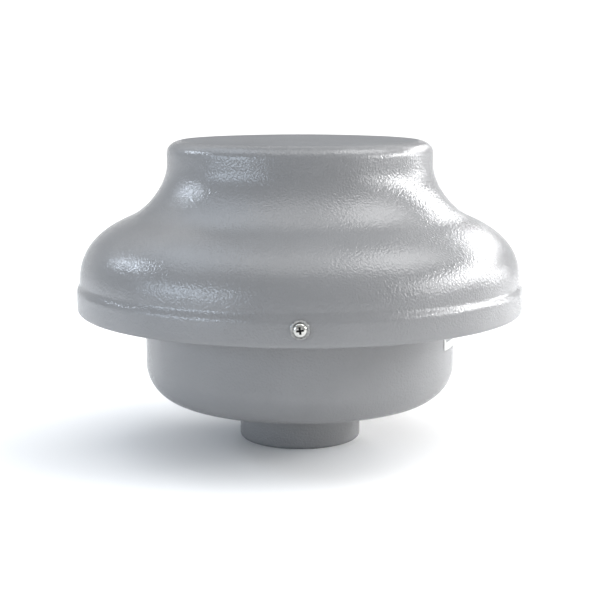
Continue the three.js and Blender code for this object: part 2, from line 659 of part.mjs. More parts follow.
GAPS_BETWEEN.forEach((side, i) => {
  const angle = BETWEEN_ARMS[i];
  const bolt = hexBolt(2, 7, 2.8, MOTOR_TOP - SPIDER_BOTTOM + 6).translate(0, 0, MOTOR_TOP + GAP);
  const tieNut = nut(7, 2.4, 3.2).translate(0, 0, SPIDER_BOTTOM - GAP - 3.2);
  add(`tie_bolt_${side}`, stand(bolt, TIE_BOLT_CIRCLE, angle), zinc);
  add(`tie_nut_${side}`, stand(tieNut, TIE_BOLT_CIRCLE, angle), zinc);
  add(`spigot_rivet_${side}`, stand(rivet(), RIVET_CIRCLE, angle), castAluminium);
});

const lowerShieldDepth = STATOR_BOTTOM - GAP - MOTOR_BOTTOM;
const upperShieldDepth = MOTOR_TOP - STATOR_TOP - GAP;
const lowerBearing = MOTOR_BOTTOM + SHIELD_SHEET + GAP;
const upperBearing = MOTOR_TOP - SHIELD_SHEET - 2 * GAP - 1.2 - BEARING_WIDTH;
const flipped = endShield(upperShieldDepth, 13).rotateX(Math.PI).rotateZ(Math.PI).translate(0, 0, MOTOR_TOP);

add("motor_lower_shield", endShield(lowerShieldDepth, 12).translate(0, 0, MOTOR_BOTTOM), castAluminium);
add("motor_upper_shield", flipped, castAluminium);
add("stator_core", statorCore(), steel);
add("stator_windings", statorWindings(), copper);
add("lower_bearing_outer_race", outerRace(lowerBearing), steel);
add("upper_bearing_outer_race", outerRace(upperBearing), steel);
add("bearing_wave_washer", waveWasher(upperBearing + BEARING_WIDTH + GAP), steel);

add("capacitor", capacitor(), whitePlastic);
const capacitorNut = nut(13, 4.3, 5).translate(0, 0, SPIDER_BOTTOM - GAP - 5);
add("capacitor_nut", stand(capacitorNut, EQUIPMENT_CIRCLE, -90), zinc);
add("terminal_block", terminalBlock(), whitePlastic);
add("motor_lead", motorLead(), leadSheath);
add("capacitor_lead", capacitorLead(), leadSheath);
add("gland_body", pointOutwards(glandBody(), 90, GLAND_HEIGHT), blackPlastic);
add("gland_cap", pointOutwards(glandCap(), 90, GLAND_HEIGHT), blackPlastic);
add("gland_locknut", pointOutwards(glandLocknut(), 90, GLAND_HEIGHT), blackPlastic);

add("shaft", disc(SHAFT_RADIUS, HUB_BOTTOM + 1, MOTOR_TOP - 1, MOTOR_SIDES), steel);
add("rotor_core", rotorCore(), castAluminium);
add("lower_bearing_inner_race", innerRace(lowerBearing), steel);
add("upper_bearing_inner_race", innerRace(upperBearing), steel);
add("impeller_hub", impellerHub(), castAluminium);
const setScrew = disc(2.4, SHAFT_RADIUS + GAP, HUB_RADIUS - 0.5, SMALL_SIDES);
add("hub_set_screw", pointOutwards(setScrew, 0, SET_SCREW_HEIGHT), steel);
const backplate = ring(HUB_RADIUS + GAP, IMPELLER_RADIUS, BACKPLATE_BOTTOM, BACKPLATE_TOP, SHELL_SIDES);
add("impeller_backplate", backplate, galvanised);
add("impeller_shroud", impellerShroud(), galvanised);
for (let i = 0; i < BLADES; i++) {
  add(`impeller_blade_${i + 1}`, impellerBlade(i), galvanised);
}

export default root;
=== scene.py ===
"""Looks for the exhaust hood fan: smooth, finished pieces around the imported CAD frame.

Shapes are worked out in millimetres and become metres when a mesh is made. Main sizes come from the CAD nodes'
boxes. What a box cannot say is a named value beside the piece it belongs to. +Z is up and -Y is the front.
"""

import math

import bmesh
import bpy
from mathutils import Matrix, Quaternion, Vector


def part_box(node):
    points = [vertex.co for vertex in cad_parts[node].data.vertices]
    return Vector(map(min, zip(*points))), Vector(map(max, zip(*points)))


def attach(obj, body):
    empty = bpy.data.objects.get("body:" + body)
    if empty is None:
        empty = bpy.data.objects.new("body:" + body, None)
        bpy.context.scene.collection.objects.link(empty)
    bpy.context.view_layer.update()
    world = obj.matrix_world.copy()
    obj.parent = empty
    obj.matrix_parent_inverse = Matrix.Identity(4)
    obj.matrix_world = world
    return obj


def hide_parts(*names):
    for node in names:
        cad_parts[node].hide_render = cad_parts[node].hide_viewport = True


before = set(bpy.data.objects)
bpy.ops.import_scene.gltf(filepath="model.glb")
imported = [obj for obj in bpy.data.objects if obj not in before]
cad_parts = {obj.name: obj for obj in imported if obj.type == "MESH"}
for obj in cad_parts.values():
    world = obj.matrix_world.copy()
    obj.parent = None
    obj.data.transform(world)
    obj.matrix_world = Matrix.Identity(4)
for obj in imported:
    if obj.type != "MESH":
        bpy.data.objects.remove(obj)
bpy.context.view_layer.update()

MM = 0.001
ARMS = {"front": -90, "right": 30, "left": 150}  # degrees: spider arms, cover screws and bowl screws
GAPS = {"back": 90, "left": 210, "right": 330}  # degrees: tie bolts and spigot rivets
CONTACT = 0.3  # what touching pieces keep between them
SHARP = 34  # degrees: an edge that bends more than this is shaded as an edge


def node_box(name):
    """The lowest and highest corners of a CAD node, in millimetres."""
    low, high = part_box(name)
    return low / MM, high / MM


# ---------------------------------------------------------------- outlines: lists of (radius, height)


def bezier(p0, p1, p2, p3, steps=20):
    """The points of a cubic curve after its first."""
    a, b, c, d = (Vector(p) for p in (p0, p1, p2, p3))
    points = []
    for i in range(1, steps + 1):
        t = i / steps
        s = 1 - t
        points.append(tuple(a * s**3 + b * 3 * s * s * t + c * 3 * s * t * t + d * t**3))
    return points


def arc(centre, radius, start, end, steps=10):
    """Points on a circle from one angle to another, in degrees, both ends included."""
    angles = [math.radians(start + (end - start) * i / steps) for i in range(steps + 1)]
    return [(centre[0] + radius * math.cos(a), centre[1] + radius * math.sin(a)) for a in angles]


def without_repeats(points):
    """The points without those that coincide with the one before."""
    kept = [points[0]]
    for p in points[1:]:
        if (Vector(p) - Vector(kept[-1])).length > 1e-5:
            kept.append(p)
    return kept


def sheet(path, thickness, side):
    """The closed outline of a sheet: a path and its copy moved sideways, to the left for side 1."""
    path = without_repeats(path)
    moved = []
    for i, p in enumerate(path):
        before = Vector(p) - Vector(path[max(i - 1, 0)])
        after = Vector(path[min(i + 1, len(path) - 1)]) - Vector(p)
        before = before.normalized() if before.length else after.normalized()
        after = after.normalized() if after.length else before
        along = (before + after).normalized()
        shift = side * thickness / max(along.dot(after), 0.3)
        moved.append((p[0] - along.y * shift, p[1] + along.x * shift))
    return path + moved[::-1]


def rounded(outline, radius, steps=3, closed=True):
    """The outline with a small arc on each of its corners."""
    points = without_repeats(outline)
    count = len(points)
    result = []
    for i, p in enumerate(points):
        if not closed and i in (0, count - 1):
            result.append(p)
            continue
        here = Vector(p)
        into = here - Vector(points[i - 1])
        out = Vector(points[(i + 1) % count]) - here
        turn = into.angle(out)
        if turn < math.radians(12):
            result.append(p)
            continue
        cut = min(radius * math.tan(turn / 2), 0.45 * into.length, 0.45 * out.length)
        start = here - into.normalized() * cut
        end = here + out.normalized() * cut
        for k in range(steps + 1):
            t = k / steps
            result.append(tuple(start * (1 - t) ** 2 + here * 2 * t * (1 - t) + end * t * t))
    return result


def hex_radius(across_flats, angle):
    """How far a hexagon's edge is from its centre at an angle in radians, with a flat at angle 0."""
    step = math.pi / 3
    return across_flats / 2 / math.cos((angle + step / 2) % step - step / 2)


def hex_outline(across_flats, bore, bottom, top, angle):
    """A nut's outline at one angle: its corners are chamfered at both ends."""
    flat = across_flats / 2
    corner = hex_radius(across_flats, angle)
    drop = (corner - 0.96 * flat) * math.tan(math.radians(30))
    return [
        (bore, bottom), (0.96 * flat, bottom), (corner, bottom + drop), (corner, top - drop),
        (0.96 * flat, top), (bore, top),
    ]


def thread(radius, depth, pitch, start, end):
    """The crests and roots of a thread between two heights, as plain rings."""
    points = []
    z = start
    while z < end:
        points += [(radius, z), (radius - depth, z + pitch / 2)]
        z += pitch
    return points


# ---------------------------------------------------------------- meshes


def circle_angles(sides, extra=()):
    """Evenly spaced angles in radians, with extra ones sorted in. An extra angle may come twice."""
    even = [2 * math.pi * i / sides for i in range(sides)]
    near = [a for a in even if all(abs(a - e) > 1e-4 for e in extra)]
    return sorted(near + list(extra))


def mark_edges(bm, sharp):
    """Shades every edge smooth that joins two faces at less than the sharp angle, in degrees."""
    for edge in bm.edges:
        edge.smooth = len(edge.link_faces) == 2 and edge.calc_face_angle(0) < math.radians(sharp)


def make_object(bm, name, place=None, sharp=SHARP):
    """Turns a bmesh in millimetres into an object in metres, shaded smooth except at sharp edges."""
    bmesh.ops.remove_doubles(bm, verts=bm.verts, dist=1e-4)
    bmesh.ops.dissolve_degenerate(bm, edges=bm.edges, dist=1e-5)
    bmesh.ops.recalc_face_normals(bm, faces=bm.faces)
    bm.transform(Matrix.Scale(MM, 4) @ (place or Matrix.Identity(4)))
    for face in bm.faces:
        face.smooth = True
    mark_edges(bm, sharp)
    mesh = bpy.data.meshes.new(name)
    bm.to_mesh(mesh)
    bm.free()
    made = bpy.data.objects.new(name, mesh)
    bpy.context.scene.collection.objects.link(made)
    return made


def turned_bmesh(outline_at, angles):
    """A body of revolution. outline_at gives the (radius, height) points at an angle, always as many."""
    bm = bmesh.new()
    on_axis = {}
    columns = []
    for index, angle in enumerate(angles):
        column = []
        for i, (r, z) in enumerate(outline_at(angle, index)):
            if r < 1e-6:
                if i not in on_axis:
                    on_axis[i] = bm.verts.new((0, 0, z))
                column.append(on_axis[i])
            else:
                column.append(bm.verts.new((r * math.cos(angle), r * math.sin(angle), z)))
        columns.append(column)
    count = len(columns[0])
    open_ends = columns[0][0] in on_axis.values() and columns[0][-1] in on_axis.values()
    for a, b in zip(columns, columns[1:] + columns[:1]):
        for i in range(count - 1 if open_ends else count):
            j = (i + 1) % count
            corners = list(dict.fromkeys([a[i], b[i], b[j], a[j]]))
            if len(corners) > 2:
                bm.faces.new(corners)
    return bm


def turned(name, outline, place=None, sides=160, sharp=SHARP):
    """An object turned from one outline."""
    bm = turned_bmesh(lambda angle, index: outline, circle_angles(sides))
    return make_object(bm, name, place, sharp)


def turned_by_angle(name, outline_at, place=None, sides=96):
    """An object whose outline changes round its axis."""
    return make_object(turned_bmesh(lambda angle, index: outline_at(angle), circle_angles(sides)), name, place)


def extruded_bmesh(outline, bottom, top):
    """A prism: a closed list of (x, y) points stretched from one height to another."""
    bm = bmesh.new()
    low = [bm.verts.new((x, y, bottom)) for x, y in outline]
    high = [bm.verts.new((x, y, top)) for x, y in outline]
    bm.faces.new(low[::-1])
    bm.faces.new(high)
    for i in range(len(outline)):
        j = (i + 1) % len(outline)
        bm.faces.new((low[i], low[j], high[j], high[i]))
    return bm


def cut_away(target, cutter):
    """Takes the cutter's shape out of the target. A cutter with a material gives it to the new faces."""
    modifier = target.modifiers.new("cut", "BOOLEAN")
    if cutter.data.materials:
        modifier.material_mode = "TRANSFER"
    modifier.object = cutter
    modifier.operation = "DIFFERENCE"
    modifier.solver = "EXACT"
    bpy.context.view_layer.update()
    evaluated = target.evaluated_get(bpy.context.evaluated_depsgraph_get())
    result = bpy.data.meshes.new_from_object(evaluated)
    target.modifiers.clear()
    target.data = result
    bpy.data.objects.remove(cutter)
    bm = bmesh.new()
    bm.from_mesh(result)
    mark_edges(bm, SHARP)
    bm.to_mesh(result)
    bm.free()


def drill(target, name, radius, start, end, place, sides):
    """Makes a round hole along the place's axis, from one height to another."""
    hole = [(0, start), (radius, start), (radius, end), (0, end)]
    cut_away(target, turned(name, hole, place, sides))


def pointing_out(degrees, height):
    """Places a shape made on Z so that it points outwards: its heights become distances from the fan's axis."""
    return (
        Matrix.Translation((0, 0, height))
        @ Matrix.Rotation(math.radians(degrees), 4, "Z")
        @ Matrix.Rotation(math.pi / 2, 4, "Y")
    )


def standing(radius, degrees):
    """Places a shape made on Z on a circle, turned to face outwards."""
    return Matrix.Rotation(math.radians(degrees), 4, "Z") @ Matrix.Translation((radius, 0, 0))


# ---------------------------------------------------------------- materials


def add_node(tree, kind, inputs=(), **settings):
    """A shader node with its inputs linked or set, and its other settings."""
    made = tree.nodes.new(kind)
    for key, value in settings.items():
        setattr(made, key, value)
    for key, value in dict(inputs).items():
        if isinstance(value, bpy.types.NodeSocket):
            tree.links.new(value, made.inputs[key])
        else:
            made.inputs[key].default_value = value
    return made


def ramp(tree, factor, low, high, start=0.35, end=0.65):
    """Mixes from one colour to another as a factor goes from start to end."""
    made = add_node(tree, "ShaderNodeValToRGB", {"Fac": factor})
    made.color_ramp.elements[0].position = start
    made.color_ramp.elements[1].position = end
    made.color_ramp.elements[0].color = (*low, 1)
    made.color_ramp.elements[1].color = (*high, 1)
    return made.outputs["Color"]


def map_range(tree, value, source, target):
    """Maps one range of values to another and holds the ends."""
    inputs = {
        "Value": value, "From Min": source[0], "From Max": source[1], "To Min": target[0], "To Max": target[1],
    }
    return add_node(tree, "ShaderNodeMapRange", inputs).outputs["Result"]


def spread(tree, factor, low, high):
    """Maps a texture's usual range to a range of values."""
    return map_range(tree, factor, (0.3, 0.7), (low, high))


def noise(tree, size_mm, detail=2.0, roughness=0.5, stretch=(1, 1, 1)):
    """A noise whose grains are about size_mm across, in the object's own space."""
    coordinates = add_node(tree, "ShaderNodeTexCoord").outputs["Object"]
    mapped = add_node(tree, "ShaderNodeMapping", {"Vector": coordinates, "Scale": stretch}).outputs["Vector"]
    inputs = {"Vector": mapped, "Scale": 1 / (size_mm * MM), "Detail": detail, "Roughness": roughness}
    return add_node(tree, "ShaderNodeTexNoise", inputs).outputs["Fac"]


def cell_colours(tree, size_mm):
    """A patchwork of cells about size_mm across, each in a colour of its own."""
    coordinates = add_node(tree, "ShaderNodeTexCoord").outputs["Object"]
    inputs = {"Vector": coordinates, "Scale": 1 / (size_mm * MM)}
    return add_node(tree, "ShaderNodeTexVoronoi", inputs).outputs["Color"]


def bump(tree, height, depth_mm, normal=None):
    """A relief of a given depth, over another relief if there is one."""
    inputs = {"Height": height, "Distance": depth_mm * MM, "Strength": 1.0}
    if normal:
        inputs["Normal"] = normal
    return add_node(tree, "ShaderNodeBump", inputs).outputs["Normal"]


def new_material(name, **values):
    """A material, its node tree and its shader's inputs, with constant values set on the shader itself."""
    material = bpy.data.materials.new(name)
    material.use_nodes = True
    tree = material.node_tree
    shader = tree.nodes["Principled BSDF"]
    for key, value in values.items():
        shader.inputs[key.replace("_", " ")].default_value = value
    return material, tree, shader.inputs


def powder_coat():
    """Glossy grey powder coat with a fine pebbled skin, dulled by dust where it faces straight up."""
    material, tree, shader = new_material("powder_coat")
    link = tree.links.new
    patches = noise(tree, 60, 3)
    link(ramp(tree, patches, (0.179, 0.182, 0.187), (0.195, 0.198, 0.203)), shader["Base Color"])
    grain = noise(tree, 1.65, 1, 0.5)
    link(spread(tree, grain, 0.15, 0.24), shader["Roughness"])
    ripple = bump(tree, noise(tree, 9.0, 1), 0.04)
    link(bump(tree, grain, 0.38, ripple), shader["Normal"])
    edge_on = add_node(tree, "ShaderNodeLayerWeight", {"Blend": 0.35}).outputs["Facing"]
    mirror = map_range(tree, edge_on, (0.36, 0.7), (0.65, 0.11))
    normal = add_node(tree, "ShaderNodeNewGeometry").outputs["Normal"]
    upward = add_node(tree, "ShaderNodeSeparateXYZ", {"Vector": normal}).outputs["Z"]
    without_dust = map_range(tree, upward, (0.9, 0.99), (1.0, 0.0))
    gloss = add_node(tree, "ShaderNodeMath", {0: mirror, 1: without_dust}, operation="MULTIPLY")
    link(gloss.outputs["Value"], shader["Specular IOR Level"])
    return material


def galvanised_steel():
    """Zinc-coated sheet with its patchwork of dull and bright crystals."""
    material, tree, shader = new_material("galvanised_steel", Metallic=1.0)
    link = tree.links.new
    spangle = cell_colours(tree, 9)
    tone = add_node(tree, "ShaderNodeRGBToBW", {"Color": spangle}).outputs["Val"]
    link(ramp(tree, tone, (0.50, 0.52, 0.54), (0.66, 0.67, 0.68), 0.2, 0.8), shader["Base Color"])
    link(spread(tree, tone, 0.34, 0.46), shader["Roughness"])
    link(bump(tree, noise(tree, 0.8, 3), 0.02), shader["Normal"])
    return material


def plated_zinc(name, dark, light, rough):
    """Zinc plating with faint clouding. With near-black colours it makes the painted shade in the screws' cross
    recesses.
    """
    material, tree, shader = new_material(name, Metallic=1.0)
    link = tree.links.new
    cloud = noise(tree, 2.5, 4)
    link(ramp(tree, cloud, dark, light), shader["Base Color"])
    link(spread(tree, cloud, rough, rough + 0.12), shader["Roughness"])
    link(bump(tree, noise(tree, 0.3, 2), 0.01), shader["Normal"])
    return material


def cast_aluminium():
    """Die-cast aluminium with a dull, finely pitted skin."""
    material, tree, shader = new_material("cast_aluminium", Metallic=1.0)
    link = tree.links.new
    skin = noise(tree, 1.2, 5, 0.6)
    link(ramp(tree, skin, (0.52, 0.53, 0.54), (0.66, 0.67, 0.68)), shader["Base Color"])
    link(spread(tree, skin, 0.45, 0.6), shader["Roughness"])
    link(bump(tree, skin, 0.06), shader["Normal"])
    return material


def turned_steel():
    """Machined steel with fine marks that run round the axis."""
    material, tree, shader = new_material("turned_steel", Metallic=1.0)
    link = tree.links.new
    marks = noise(tree, 4.0, 3, 0.6, (0.15, 0.15, 12))
    link(ramp(tree, marks, (0.42, 0.43, 0.44), (0.56, 0.57, 0.58)), shader["Base Color"])
    link(spread(tree, marks, 0.22, 0.36), shader["Roughness"])
    link(bump(tree, marks, 0.01), shader["Normal"])
    return material


def laminated_steel():
    """The edges of a stack of half-millimetre sheets."""
    material, tree, shader = new_material("laminated_steel", Metallic=1.0)
    link = tree.links.new
    layers = noise(tree, 6.0, 1, 0.5, (0.02, 0.02, 12))
    link(ramp(tree, layers, (0.20, 0.21, 0.23), (0.40, 0.41, 0.43)), shader["Base Color"])
    link(spread(tree, layers, 0.35, 0.6), shader["Roughness"])
    link(bump(tree, layers, 0.05), shader["Normal"])
    return material


def copper_winding():
    """Varnished copper wire, laid in strands round the coil heads."""
    material, tree, shader = new_material("copper_winding", Metallic=0.7, Coat_Weight=0.6, Coat_Roughness=0.2)
    link = tree.links.new
    strands = noise(tree, 1.6, 2, 0.5, (0.5, 0.5, 2.2))
    link(ramp(tree, strands, (0.20, 0.055, 0.02), (0.62, 0.24, 0.09)), shader["Base Color"])
    link(spread(tree, strands, 0.3, 0.5), shader["Roughness"])
    link(bump(tree, strands, 0.35), shader["Normal"])
    return material


def moulded_plastic(name, dark, light, rough=0.45):
    """Plastic with a fine spark-eroded grain."""
    material, tree, shader = new_material(name)
    link = tree.links.new
    grain = noise(tree, 0.6, 3)
    link(ramp(tree, noise(tree, 18, 2), dark, light), shader["Base Color"])
    link(spread(tree, grain, rough - 0.06, rough + 0.08), shader["Roughness"])
    link(bump(tree, grain, 0.02), shader["Normal"])
    return material


def label_film():
    """White printed film with a slight unevenness from the textured coat under it."""
    material, tree, shader = new_material("label_film")
    link = tree.links.new
    under = noise(tree, 1.8, 1)
    link(ramp(tree, under, (0.60, 0.60, 0.59), (0.66, 0.66, 0.65)), shader["Base Color"])
    link(spread(tree, under, 0.28, 0.36), shader["Roughness"])
    link(bump(tree, under, 0.03), shader["Normal"])
    return material


PAINT = powder_coat()
GALVANISED = galvanised_steel()
ZINC = plated_zinc("plated_zinc", (0.44, 0.44, 0.42), (0.56, 0.56, 0.54), 0.12)
# Near-black painted shade for the deep slots of the screws' cross recesses, not a real finish of the zinc.
PAINTED_RECESS_SHADE = plated_zinc("recess_painted_shade", (0.03, 0.03, 0.03), (0.07, 0.07, 0.07), 0.5)
DULL_ZINC = plated_zinc("dull_zinc", (0.26, 0.265, 0.265), (0.34, 0.34, 0.335), 0.22)
ALUMINIUM = cast_aluminium()
STEEL = turned_steel()
LAMINATIONS = laminated_steel()
COPPER = copper_winding()
WHITE_PLASTIC = moulded_plastic("white_plastic", (0.70, 0.70, 0.67), (0.78, 0.78, 0.75), 0.35)
BLACK_PLASTIC = moulded_plastic("black_plastic", (0.016, 0.016, 0.018), (0.026, 0.026, 0.028), 0.5)
SHEATH = moulded_plastic("lead_sheath", (0.03, 0.03, 0.032), (0.045, 0.045, 0.048), 0.6)
LABEL = label_film()
LABEL_INK = moulded_plastic("label_ink", (0.20, 0.21, 0.22), (0.24, 0.25, 0.26), 0.4)


def finish_piece(piece, node, material, body="casing"):
    """Gives a piece its material and lets it stand for its CAD node."""
    if material and not piece.data.materials:
        piece.data.materials.append(material)
    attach(piece, body)
    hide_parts(node)


def keep_node(node, material, edge_mm=0.3):
    """Shows a CAD node as it is, with broken edges and a finished material."""
    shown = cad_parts[node]
    shown.data.materials.clear()
    shown.data.materials.append(material)
    modifier = shown.modifiers.new("broken_edges", "BEVEL")
    modifier.width = edge_mm * MM
    modifier.segments = 2
    modifier.limit_method = "ANGLE"
    modifier.angle_limit = math.radians(40)
    modifier.use_clamp_overlap = True


# ---------------------------------------------------------------- bell cover

SHELL = 1.5  # sheet of the cover and the bowl
bell_low, bell_high = node_box("bell_cover")
RIM_RADIUS = bell_high.x
RIM_BOTTOM = bell_low.z
TOP = bell_high.z
RIM_TOP = RIM_BOTTOM + 23.4
RIM_STEP = 2.5  # how far the rim band stands out from the shoulder
RIM_CURL = 4
LIP_RADIUS = RIM_RADIUS - 8
NECK_RADIUS = RIM_RADIUS - 72.8
CROWN_RADIUS = 92.5
CROWN_DROP = 2.6


def bell_outside(lip_radius):
    """The cover's outer face, from the axis to the end of the lip under the rim."""
    crown_edge = TOP - CROWN_DROP
    neck_top = TOP - 13
    neck_bottom = TOP - 21.9
    waist = Vector((136.7, 181.2))  # where the flare turns over into the shoulder
    waist_slope = math.radians(23.8)
    downhill = Vector((math.cos(waist_slope), -math.sin(waist_slope)))
    above = waist - downhill * 17.5
    below = waist + downhill * 15
    shoulder = RIM_RADIUS - RIM_STEP
    path = [(r, TOP - CROWN_DROP * (r / CROWN_RADIUS) ** 2) for r in (0, 12, 24, 36, 48, 60, 72, 84)]
    path.append((CROWN_RADIUS, crown_edge))
    path += bezier(
        path[-1], (CROWN_RADIUS + 8, crown_edge - 0.5), (NECK_RADIUS, neck_top + 6), (NECK_RADIUS, neck_top)
    )
    path.append((NECK_RADIUS, neck_bottom))
    path += bezier(path[-1], (NECK_RADIUS, neck_bottom - 14.2), above, waist)
    path += bezier(waist, below, (shoulder, RIM_TOP + 33.6), (shoulder, RIM_TOP + 2.5), 28)
    path += bezier(
        path[-1], (shoulder, RIM_TOP - 1.6), (RIM_RADIUS, RIM_TOP - 2.4), (RIM_RADIUS, RIM_TOP - 6.5), 14
    )
    centre = (RIM_RADIUS - RIM_CURL, RIM_BOTTOM + RIM_CURL)
    turn = 90
    if lip_radius > centre[0]:
        turn = math.degrees(math.acos((lip_radius - centre[0]) / RIM_CURL))
    curl = arc(centre, RIM_CURL, 0, -turn, 10)
    end = (min(lip_radius, curl[-1][0] - 0.01), curl[-1][1])
    return path + curl + [end]


def bell_cover():
    """The spun cover. Its lip has a notch at each arm, so that it lifts off past the arms' tabs."""
    tab_face = abs(node_box("motor_spider")[0].y)
    notch_half_width = 15.5
    whole = sheet(bell_outside(LIP_RADIUS), SHELL, -1)
    notch_half = math.asin(notch_half_width / RIM_RADIUS)
    edges = {}
    for degrees in ARMS.values():
        middle = math.radians(degrees) % (2 * math.pi)
        for side in (-1, 1):
            edges[(middle + side * notch_half) % (2 * math.pi)] = side
    angles = circle_angles(240, [e for e in edges for _ in range(2)])  # twice, for the notch's upright end face

    def outline_at(angle, index):
        near = min(abs(angle - math.radians(d) % (2 * math.pi)) for d in ARMS.values())
        inside = near < notch_half - 1e-6
        if angle in edges:
            second = angles[index - 1] == angle
            inside = second if edges[angle] < 0 else not second
        if not inside:
            return whole
        reach = (tab_face + CONTACT) / math.cos(near)
        return sheet(bell_outside(reach), SHELL, -1)

    return make_object(turned_bmesh(outline_at, angles), "bell_cover_shell")


finish_piece(bell_cover(), "bell_cover", PAINT)

# ---------------------------------------------------------------- base bowl, spigot, inlet cone

BOWL_FLOOR = node_box("bowl_pan")[0].z
bowl_high = node_box("bowl_wall")[1]
BOWL_TOP = bowl_high.z
BOWL_FLANGE = bowl_high.x
BOWL_RADIUS = BOWL_FLANGE - 14
BOWL_CORNER = 30.7
spigot_high = node_box("duct_spigot")[1]
SPIGOT_RADIUS = spigot_high.x
SPIGOT_WALL = 1.8
gland_low, gland_high = node_box("gland_cap")
GLAND_HEIGHT = (gland_low.z + gland_high.z) / 2


def base_bowl():
    """The bowl's pan and wall in one, as their weld is ground flush, with the gland's hole at the back."""
    fillet = 3
    flange_bottom = BOWL_TOP - SHELL
    path = [(SPIGOT_RADIUS + CONTACT, BOWL_FLOOR)]
    path += arc((BOWL_RADIUS - BOWL_CORNER, BOWL_FLOOR + BOWL_CORNER), BOWL_CORNER, -90, 0, 20)
    path += arc((BOWL_RADIUS + fillet, flange_bottom - fillet), fillet, 180, 90, 6)
    path.append((BOWL_FLANGE, flange_bottom))
    bowl = turned("base_bowl_shell", sheet(path, SHELL, 1), sides=240)
    place = pointing_out(90, GLAND_HEIGHT)
    drill(bowl, "gland_hole", 8.4, BOWL_RADIUS - 12, BOWL_RADIUS + 4, place, 48)
    return bowl


bowl = base_bowl()
finish_piece(bowl, "bowl_wall", PAINT)
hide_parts("bowl_pan")


def duct_spigot():
    """The spigot tube with its turned-in lower end."""
    curl = 3.8
    mouth = 42.5
    path = [(mouth, 0)] + arc((SPIGOT_RADIUS - curl, curl), curl, -90, 0, 10)
    path.append((SPIGOT_RADIUS, spigot_high.z))
    return turned("duct_spigot_tube", rounded(sheet(path, SPIGOT_WALL, 1), 0.3), sides=200)


def flat_ring(name, node, inner, edge=0.25):
    """A plain ring with broken edges, as high and as wide as its node."""
    low, high = node_box(node)
    outline = [(inner, low.z), (high.x, low.z), (high.x, high.z), (inner, high.z)]
    return turned(name, rounded(outline, edge))


finish_piece(duct_spigot(), "duct_spigot", PAINT)
finish_piece(
    flat_ring("spigot_flange_ring", "spigot_flange", SPIGOT_RADIUS + CONTACT), "spigot_flange", PAINT
)


def inlet_cone():
    """The spun cone that leads the air from the bowl's floor into the impeller's eye."""
    low, high = node_box("inlet_cone")
    throat = 42.5
    sheet_mm = 1.2
    path = [(high.x, low.z), (50, low.z)]
    path += bezier(path[-1], (45, low.z), (throat, low.z + 5), (throat, low.z + 12), 16)
    path.append((throat, high.z))
    return turned("inlet_cone_spun", rounded(sheet(path, sheet_mm, -1), 0.25), sides=200)


finish_piece(inlet_cone(), "inlet_cone", GALVANISED)


def rivet(name, node, degrees):
    """A blind rivet: a domed head under the bowl and a set end with the broken mandrel above."""
    low, high = node_box(node)
    head_top = BOWL_FLOOR - CONTACT
    set_end = high.z - 2.8
    outline = [
        (0, low.z + 0.5), (0.9, low.z + 0.5), (1.0, low.z), (2.6, low.z + 0.35), (3.6, low.z + 0.85),
        (4.0, head_top), (2.0, head_top), (2.0, set_end), (2.9, set_end + 0.3), (3.1, set_end + 1.2),
        (2.6, set_end + 2.1), (1.2, set_end + 2.2), (1.0, high.z), (0, high.z),
    ]
    radius = math.hypot((low.x + high.x) / 2, (low.y + high.y) / 2)
    return turned(name, rounded(outline, 0.25, 2, False), standing(radius, degrees), 32)


for side, degrees in GAPS.items():
    node = f"spigot_rivet_{side}"
    finish_piece(rivet(f"blind_rivet_{side}", node, degrees), node, ALUMINIUM)

# ---------------------------------------------------------------- spider and fasteners

keep_node("motor_spider", GALVANISED, 0.5)

COVER_SCREW_HEIGHT = sum(v.z for v in node_box("cover_screw_front")) / 2
WASHER_RADIUS = 7.0
WASHER_SHEET = 1.0
BOWL_SCREW_CIRCLE = 133
TIE_BOLT_CIRCLE = 51
BOWL_SCREW_HEAD = 3.5
TIE_BOLT_HEAD = 2.8


def recess_wing(top, place, turn):
    """The cutter for one slot of a cross recess: a wedge that narrows towards its bottom."""
    width, depth, clear_of_head = 6.4, 2.7, 0.8
    bm = extruded_bmesh([(-1, -1), (1, -1), (1, 1), (-1, 1)], -1, 1)
    for v in bm.verts:
        deep = v.co.z < 0
        v.co.x *= width / 2 * (0.35 if deep else 1.0)
        v.co.y *= 0.5 if deep else 0.85
        v.co.z = top + (-depth if deep else clear_of_head)
    return make_object(bm, "recess_wing", place @ Matrix.Rotation(math.radians(turn), 4, "Z"))


def pan_screw(name, degrees, turn):
    """A pan-head screw with a cross recess, its shank threaded. The recess's faces are coloured near-black as
    painted shade.
    """
    seat = RIM_RADIUS + WASHER_SHEET
    head, height, shank, length = 4.9, 3.4, 2.5, 14
    top = seat + height
    outline = [(0, seat - length), (shank - 0.5, seat - length)]
    outline += thread(shank, 0.35, 0.8, seat - length + 0.6, seat - 1.2)
    outline += [(shank, seat - 0.4), (shank, seat), (head - 0.2, seat), (head, seat + 0.25), (head, seat + 1.3)]
    outline += bezier(outline[-1], (head, seat + 2.4), (head * 0.75, top), (head * 0.3, top), 10)
    outline.append((0, top))
    place = pointing_out(degrees, COVER_SCREW_HEIGHT)
    screw = turned(name, outline, place, 64, 50)
    screw.data.materials.append(ZINC)
    for wing in (turn, turn + 90):
        cutter = recess_wing(top, place, wing)
        # The recess's new faces take the near-black painted shade.
        cutter.data.materials.append(PAINTED_RECESS_SHADE)
        cut_away(screw, cutter)
    return screw


def washer(name, degrees):
    """A plain washer, slightly dished towards its bore, where the screw's head pulls it in."""
    bore = 2.9
    low, high = RIM_RADIUS, RIM_RADIUS + WASHER_SHEET
    outline = [
        (bore, low), (WASHER_RADIUS, low + 0.15), (WASHER_RADIUS, high - 0.2),
        (WASHER_RADIUS - 0.4, high), (bore, high - 0.45),
    ]
    return turned(name, rounded(outline, 0.3), pointing_out(degrees, COVER_SCREW_HEIGHT), 64)


